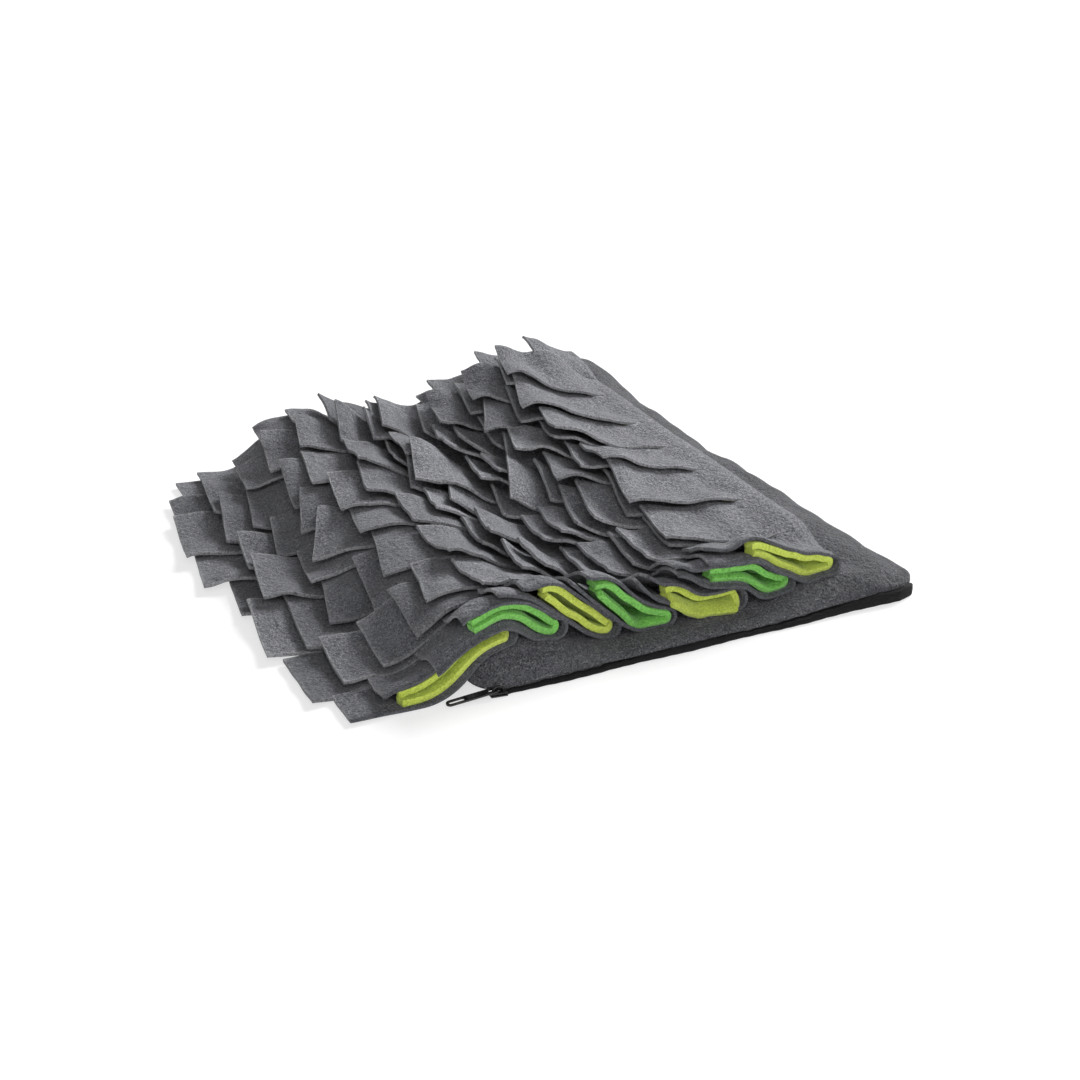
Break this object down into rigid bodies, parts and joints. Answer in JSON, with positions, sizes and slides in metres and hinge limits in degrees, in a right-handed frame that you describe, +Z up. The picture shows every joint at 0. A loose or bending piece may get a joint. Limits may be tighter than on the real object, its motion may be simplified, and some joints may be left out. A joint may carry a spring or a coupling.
{
  "type": "snuffle mat on a zipped pouch",
  "caption": "Pet snuffle mat: a soft padded felt pouch with a zip along its front, its top covered by rows of folded felt flaps that hide treats, with bright fleece folded inside each row.",
  "frame": {"origin": "centre of the pouch's flat underside, on the surface it rests on", "axes": "+X across the pouch, away from the hanging flaps; +Y from the zip edge to the far end, along the rows; +Z up"},
  "size_m": [0.3699, 0.3663, 0.0745],
  "materials": {
    "felt": "dark grey melange needle felt, mottled, with cut edges",
    "lime_fleece": "yellow-green brushed fleece",
    "green_fleece": "bright green brushed fleece",
    "zip_tape": "black woven zip tape with nylon coil",
    "zip_metal": "black enamel on die-cast metal"
  },
  "bodies": {
    "root": {"pouch": "felt", "row_1": "felt", "row_2": "felt", "row_3": "felt", "row_4": "felt", "row_5": "felt", "row_6": "felt", "row_7": "felt", "fill_1": "lime_fleece", "fill_2": "green_fleece", "fill_3": "lime_fleece", "fill_4": "green_fleece", "fill_5": "lime_fleece", "fill_6": "green_fleece", "fill_7": "lime_fleece", "zip_tape": "zip_tape", "zip_slider": "zip_metal", "zip_pull": "zip_metal"}
  },
  "joints": []
}
